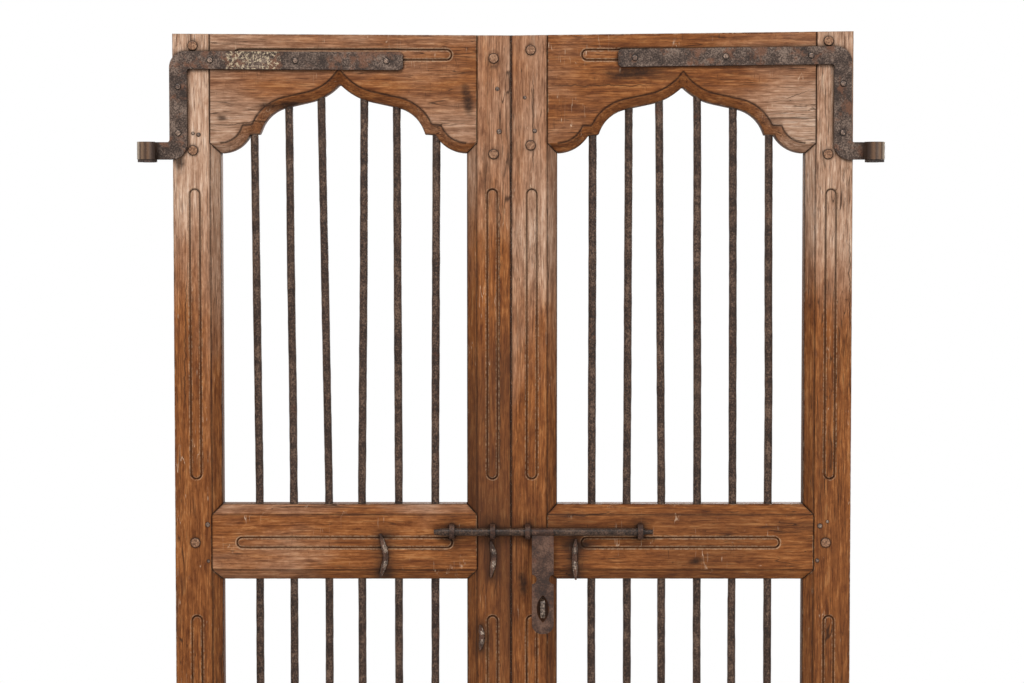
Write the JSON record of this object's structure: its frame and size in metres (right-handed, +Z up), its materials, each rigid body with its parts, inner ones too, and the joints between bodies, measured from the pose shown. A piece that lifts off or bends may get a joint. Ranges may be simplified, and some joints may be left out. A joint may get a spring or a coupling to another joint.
{
  "type": "barred double door",
  "caption": "Double-leaf weathered teak door with cusped arches and round iron bars, hung on wall pintles by L-shaped strap hinges and closed by a sliding bolt with a hasp",
  "frame": {"origin": "on the sill, on the line where the leaves meet, in the middle of the leaf thickness", "axes": "+Z up, +X to the right seen from the bolt side, +Y away from the bolt side"},
  "size_m": [1.192, 0.1276, 1.907],
  "materials": {
    "teak": "old dry teak, open grain",
    "peg_wood": "end grain, worn round",
    "bar_iron": "forged, pitted",
    "strap_iron": "rusty, old paint",
    "lock_iron": "worn smooth, rusty",
    "pintle_iron": "forged, rusty"
  },
  "bodies": {
    "wall_pintles": {"left_upper_pintle": "pintle_iron", "left_lower_pintle": "pintle_iron", "right_upper_pintle": "pintle_iron", "right_lower_pintle": "pintle_iron"},
    "left_leaf": {"left_hinge_stile": "teak", "left_meeting_stile": "teak", "left_top_rail": "teak", "left_middle_rail": "teak", "left_bottom_rail": "teak", "left_bar_1": "bar_iron", "left_bar_2": "bar_iron", "left_bar_3": "bar_iron", "left_bar_4": "bar_iron", "left_bar_5": "bar_iron", "left_bar_6": "bar_iron", "left_top_pegs": "peg_wood", "left_middle_pegs": "peg_wood", "left_bottom_pegs": "peg_wood", "left_upper_strap": "strap_iron", "left_upper_strap_nails": "strap_iron", "left_lower_strap": "strap_iron", "left_lower_strap_nails": "strap_iron", "left_stile_staple": "lock_iron", "left_rail_staple": "lock_iron", "left_rail_split_pin": "lock_iron", "left_stile_split_pin": "lock_iron", "left_lower_split_pin": "lock_iron"},
    "right_leaf": {"right_hinge_stile": "teak", "right_meeting_stile": "teak", "right_top_rail": "teak", "right_middle_rail": "teak", "right_bottom_rail": "teak", "right_bar_1": "bar_iron", "right_bar_2": "bar_iron", "right_bar_3": "bar_iron", "right_bar_4": "bar_iron", "right_bar_5": "bar_iron", "right_bar_6": "bar_iron", "right_top_pegs": "peg_wood", "right_middle_pegs": "peg_wood", "right_bottom_pegs": "peg_wood", "right_upper_strap": "strap_iron", "right_upper_strap_nails": "strap_iron", "right_lower_strap": "strap_iron", "right_lower_strap_nails": "strap_iron", "right_stile_staple": "lock_iron", "right_rail_staple": "lock_iron", "right_rail_split_pin": "lock_iron", "hasp_staple": "lock_iron"},
    "bolt": {"bolt_rod": "lock_iron"},
    "hasp": {"hasp": "lock_iron"}
  },
  "joints": [
    {"name": "left_leaf_swing", "type": "hinge", "parent": "wall_pintles", "child": "left_leaf", "pos_m": [-0.5795, -0.039, 0.95], "axis": [0, 0, -1], "range_deg": [0, 165]},
    {"name": "right_leaf_swing", "type": "hinge", "parent": "wall_pintles", "child": "right_leaf", "pos_m": [0.5795, -0.039, 0.95], "axis": [0, 0, 1], "range_deg": [0, 165]},
    {"name": "bolt_slide", "type": "slide", "parent": "right_leaf", "child": "bolt", "axis": [1, 0, 0], "range_m": [0, 0.128]},
    {"name": "hasp_turn", "type": "hinge", "parent": "bolt", "child": "hasp", "pos_m": [0.051, -0.0335, 1.1045], "axis": [-1, 0, 0], "range_deg": [-10, 150]}
  ]
}
